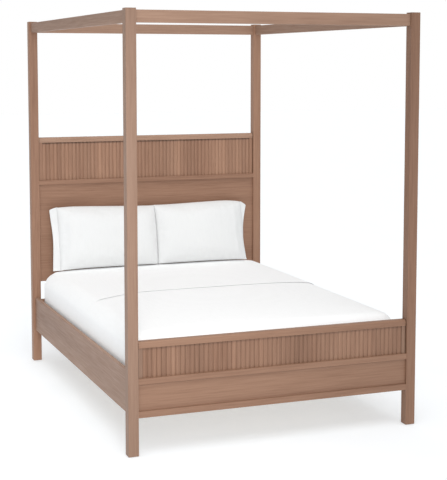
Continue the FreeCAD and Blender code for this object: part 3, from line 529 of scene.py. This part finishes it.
def edge_drop(x, y):
    """How far the top of the mattress sinks toward its sides and its foot."""
    edge = np.maximum(np.abs(x) / SINK_HALF_WIDTH, -np.asarray(y) / SINK_TO_FOOT)
    return EDGE_SINK * np.clip(edge, 0, 1) ** 6


sheet_cotton = cotton("sheet_cotton", (0.93, 0.937, 0.94), crease=0.002)
bed_high = Vector(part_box("mattress")[1])
mattress = outer_skin("mattress", "mattress_fitted_sheet")
remesh = mattress.modifiers.new("even", "REMESH")
remesh.mode = "VOXEL"
remesh.voxel_size = 0.018
baked(mattress)
skin = co_of(mattress)
across = 1 - (skin[:, 0] / bed_high.x) ** 2
along = 1 - (skin[:, 1] / bed_high.y) ** 2
crown = CROWN * np.clip(across * along, 0, 1) ** 0.5 * (skin[:, 2] > TOP_FACE)
inflate(mattress, 3.0, 16, 20.0, 1.5)
moved = co_of(mattress) - skin
skin[:, :2] += np.clip(moved[:, :2], -0.004, 0.004) * (skin[:, 2:3] > RAIL_TOP)
crown = np.clip(moved[:, 2], 0.0, crown)
sink = edge_drop(skin[:, 0], skin[:, 1])
skin[:, 2] += crown - sink * np.clip((skin[:, 2] - RAIL_TOP) / SIDE_FADE, 0, 1)
set_co(mattress, skin)


# ---------------------------------------------------------------- top sheet

def hem_at(x):
    """Where the turned-down sheet ends: straight across, drawn to the foot at its left side."""
    side = min(1.0, max(0.0, -x - 0.43) / 0.28)
    return -0.010 - 0.100 * side ** 0.9


def fold_at(_):
    """Where the sheet is folded back, straight across the bed and hidden under the pillows."""
    return 0.930


def tucked(x, z):
    """1 on top of the mattress, falling to 0 down its sides, where the sheet is pulled tight."""
    if x < 0:
        return min(1.0, max(0.0, (z - 0.586) / 0.012))
    return min(1.0, max(0.0, (z - 0.548) / 0.042))


def skin_strip(low_line, high_line, lift, least):
    """The mattress's skin between two lines across the bed, moved outward.

    It moves by lift on top and by least at the sides. low_line is None where the strip runs to
    the foot. The result is its points, its faces and the points along high_line in order.
    """
    work = bmesh.new()
    work.from_mesh(mattress.data)
    hidden = [f for f in work.faces if f.calc_center_median().z < 0.398]
    bmesh.ops.delete(work, geom=hidden, context="FACES")
    for line, side in ((high_line, 1.0), (low_line, -1.0)):
        if line is None:
            continue
        for vert in work.verts:
            vert.co.y -= line(vert.co.x)
        everything = work.verts[:] + work.edges[:] + work.faces[:]
        bmesh.ops.bisect_plane(work, geom=everything, plane_co=(0, 0, 0),
                               plane_no=(0, side, 0), clear_outer=True, dist=1e-6)
        for vert in work.verts:
            vert.co.y += line(vert.co.x)
    work.normal_update()
    moves = [vert.normal * (least + (lift - least) * tucked(vert.co.x, vert.co.z))
             for vert in work.verts]
    for vert, move in zip(work.verts, moves):
        vert.co += move
    work.verts.index_update()
    points = [tuple(vert.co) for vert in work.verts]
    faces = [[vert.index for vert in face.verts] for face in work.faces]
    rim = [v for v in work.verts if v.is_boundary and abs(v.co.y - high_line(v.co.x)) < 0.004]
    rim.sort(key=lambda vert: math.atan2(vert.co.x, vert.co.z - 0.30))
    rim = [vert.index for vert in rim]
    work.free()
    return points, faces, rim


# it runs from the foot of the bed to under the pillows and back to its hem
lower, lower_faces, lower_rim = skin_strip(None, fold_at, 0.0012, 0.0006)
upper, upper_faces, upper_rim = skin_strip(hem_at, fold_at, 0.0082, 0.0016)
base = len(lower)
faces = lower_faces + [[base + i for i in reversed(face)] for face in upper_faces]
if len(lower_rim) == len(upper_rim):  # the fold itself, which joins the two layers
    for a, b, c, d in zip(lower_rim, lower_rim[1:], upper_rim, upper_rim[1:]):
        faces.append([b, a, base + c, base + d])
top_sheet = mesh_object("top_sheet_turned_down", lower + upper, faces)
top_sheet.data.materials.append(sheet_cotton)
weights = top_sheet.vertex_groups.new(name="thick")
for vert in top_sheet.data.vertices:
    weights.add([vert.index], 0.2 + 0.8 * tucked(vert.co.x, vert.co.z), "REPLACE")
cloth_wall = top_sheet.modifiers.new("thickness", "SOLIDIFY")
cloth_wall.thickness = 0.0024
cloth_wall.offset = 1.0
cloth_wall.vertex_group = weights.name
smoothed(top_sheet)
smoothed(mattress)
mattress.data.materials.append(sheet_cotton)

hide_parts("mattress")
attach(mattress, "mattress")
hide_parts("top_sheet")
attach(top_sheet, "mattress")


# ---------------------------------------------------------------- pillows

# a pillow is built upright round its seam: x along it, y through it, s up it, 0 at its middle
LOW_S, HIGH_S = -0.222, 0.229
THICK, FRONT_SHARE, BACK_SHARE = 0.148, 0.57, 0.43
OUTER_TAPER, INNER_TAPER, RIM_TAPER = 1.7, 4.5, 2.7  # a higher one is a blunter end
STEP = 0.0105        # of the grid of points
SWELL = 0.014        # the most that the cloth may move a point
BORDER = 0.040       # the case's flat end, past the filling
OVERLAP = 0.012      # how far that end starts inside the seam
LEAN = -12.0         # degrees, back against the headboard
BED_OVER_CAD = 0.0145  # the mattress's crowned top over the pillow's CAD bottom
SOFTEN = 0.012       # height over which the underside rounds off to flat
CONTACT_X, CONTACT_GAP = 0.0075, 0.0003  # where the two pillows press on each other

# greyer than the sheet's cotton: partly the case's own white, partly painted shade for the
# pillows' upright faces, which get less light
pillow_cotton = cotton("pillow_cotton", (0.775, 0.782, 0.78), crease=0.003)


def pillow_blank(name, width, sign):
    """A filled case before it is blown up: two crowned layers sewn round a near rectangle."""
    height = HIGH_S - LOW_S
    nx, nz = round(width / STEP), round(height / STEP)
    seed = 3.7 * sign
    points, front, back = [], {}, {}
    for i in range(nx + 1):
        for j in range(nz + 1):
            u, v = 2 * i / nx - 1, 2 * j / nz - 1
            # the outer end draws in a little between its corners
            x = width / 2 * (u - 0.012 * sign * max(0.0, sign * u) ** 3 * (1 - v * v))
            s = (HIGH_S + LOW_S) / 2 + height / 2 * v
            taper = OUTER_TAPER if sign * u > 0 else INNER_TAPER
            crown = max(0.0, (1 - abs(u) ** taper) * (1 - abs(v) ** RIM_TAPER)) ** 0.55
            to_end = width / 2 * (1 - abs(u))
            to_rim = height / 2 * (1 - abs(v))
            inside = min(to_end, to_rim)
            calm = min(1.0, inside / 0.05)
            # small puckers along the seam, and a few folds that run in from the outer end
            seam = x if to_rim < to_end else s
            wander = 3.0 * noise.noise(Vector((seam * 9.0, seed, 0.0)))
            pucker = 0.0022 * math.sin(seam * 130.0 + wander)
            pucker *= math.exp(-inside / 0.030) * min(1.0, inside / 0.006)
            end_gap = width / 2 * (1 - sign * u)
            fold = 0.0040 * math.sin(end_gap * 105.0 - 1.3 * s / 0.2) * math.exp(-end_gap / 0.075)
            pucker += fold * calm
            soft = 0.0045 * noise.noise(Vector((x * 5.0, s * 4.0, seed))) * calm
            front[i, j] = back[i, j] = len(points)
            points.append((x, -FRONT_SHARE * THICK * crown - pucker - soft, s))
            if i not in (0, nx) and j not in (0, nz):
                back[i, j] = len(points)
                points.append((x, BACK_SHARE * THICK * crown - pucker - soft, s))
    faces = []
    for i in range(nx):
        for j in range(nz):
            faces.append([front[i, j], front[i + 1, j], front[i + 1, j + 1], front[i, j + 1]])
            faces.append([back[i, j], back[i, j + 1], back[i + 1, j + 1], back[i + 1, j]])
    outer = nx if sign > 0 else 0
    return mesh_object(name, points, faces), [front[outer, j] for j in range(nz + 1)]


def open_end(name, rim, sign, waist, foot):
    """The flat end of a case, drawn in by waist at half its height and by foot at its bottom."""
    rows, points, faces = 5, [], []
    for row in range(rows + 1):
        share = row / rows
        for x, y, s in rim:
            v = s / 0.225
            drawn_in = 1 - waist * (1 - v * v) - foot * max(0.0, -v)
            out = (BORDER + OVERLAP) * share * drawn_in - OVERLAP
            sway = 0.009 * share * math.sin(s * 19.0 + 1.7 * sign) + 0.010 * share * (1 - share)
            points.append((x + sign * out, y + sway + 0.022 * share, s * (1 + 0.01 * share)))
    count = len(rim)
    for row in range(rows):
        for number in range(count - 1):
            a = row * count + number
            faces.append([a, a + 1, a + count + 1, a + count])
    end = mesh_object(name, points, faces)
    wall = end.modifiers.new("thickness", "SOLIDIFY")
    wall.thickness = 0.0035
    wall.offset = 0.0
    baked(end)
    return end


def make_pillow(side, sign, inner_x, outer_x, drop, reach, waist, foot):
    """A pillow in its case, from inner_x to outer_x.

    Its upper outer corner droops by drop, which fades over reach. waist and foot are open_end's.
    """
    node = side + "_pillow"
    cad_low, cad_high = (Vector(corner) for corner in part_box(node))
    middle = (cad_low + cad_high) / 2
    width = abs(outer_x - inner_x) - BORDER
    centre_x = (inner_x + outer_x - sign * BORDER) / 2
    pillow, rim = pillow_blank(side + "_pillow_case", width, sign)
    before = co_of(pillow)
    inflate(pillow, 3.0, 22, 14.0, 0.35)
    moved = co_of(pillow) - before
    length = np.linalg.norm(moved, axis=1, keepdims=True)
    moved *= np.minimum(1.0, SWELL / np.maximum(length, 1e-9)) * np.array([0.25, 1.0, 0.5])
    points = before + moved
    set_co(pillow, points)
    hem = open_end(side + "_pillow_open_end", [points[i] for i in rim], sign, waist, foot)

    lean = Matrix.Rotation(math.radians(LEAN), 4, "X")
    place = Matrix.Translation((centre_x, middle.y + 0.012, middle.z)) @ lean
    for piece in (pillow, hem):
        points = co_of(piece)
        # the top edge sags from the outer end to the inner one, and its outer corner droops
        t = np.abs(points[:, 0] + centre_x - outer_x)
        share = np.clip((points[:, 2] + 0.20) / 0.40, 0, 1) ** 1.5
        points[:, 2] += share * (-drop * np.exp(-t / reach) - 0.024 * t / 0.7)
        set_co(piece, points)
        piece.data.transform(place)
        points = co_of(piece)
        # flat where it stands on the mattress, its front edge raised, and flat on the headboard
        ground = cad_low.z + BED_OVER_CAD - edge_drop(points[:, 0], 0.0)
        over = points[:, 2] - ground
        rounded = SOFTEN * np.exp(np.minimum(over, SOFTEN) / SOFTEN - 1)
        points[:, 2] = ground + np.where(over > SOFTEN, over, rounded)
        ahead = np.clip((middle.y - 0.035 - points[:, 1]) / 0.06, 0, 1)
        points[:, 2] += 0.014 * ahead ** 1.5 * np.exp(-np.maximum(over, 0) / 0.05)
        points[:, 1] = np.minimum(points[:, 1], cad_high.y + 0.008)
        # pressed flat against the other pillow
        outward = points[:, 0] * sign
        points[:, 0] = sign * np.maximum(outward, sign * CONTACT_X + CONTACT_GAP)
        set_co(piece, points)
        piece.data.materials.append(pillow_cotton)
    bpy.ops.object.select_all(action="DESELECT")
    hem.select_set(True)
    pillow.select_set(True)
    bpy.context.view_layer.objects.active = pillow
    bpy.ops.object.join()
    smoothed(pillow)
    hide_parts(node)
    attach(pillow, node)


make_pillow("left", -1, 0.026, -0.701, 0.032, 0.055, 0.12, 0.0)
make_pillow("right", 1, -0.011, 0.683, 0.056, 0.060, 0.50, 0.45)


# ---------------------------------------------------------------- floor

REACH = 40.0  # from the middle to each side of the floor

corners = [(-REACH, -REACH, 0), (REACH, -REACH, 0), (REACH, REACH, 0), (-REACH, REACH, 0)]
floor_mesh = bpy.data.meshes.new("studio_floor")
floor_mesh.from_pydata(corners, [], [(0, 1, 2, 3)])
floor = bpy.data.objects.new("studio_floor", floor_mesh)
scene.collection.objects.link(floor)
net = Net("studio_white")
faint = net.noise(net.stretched(EVEN), 3.0, 2.0, 0.5)
pale = net.ramp(faint, [(0.3, (0.58, 0.605, 0.625)), (0.7, (0.60, 0.62, 0.64))])
net.join(pale, net.shader.inputs["Base Color"])
net.shader.inputs["Emission Color"].default_value = (0.985, 1.0, 1.01, 1.0)
net.shader.inputs["Emission Strength"].default_value = 0.44
net.shader.inputs["Roughness"].default_value = 0.9
net.shader.inputs["Specular IOR Level"].default_value = 0.1
floor_mesh.materials.append(net.material)
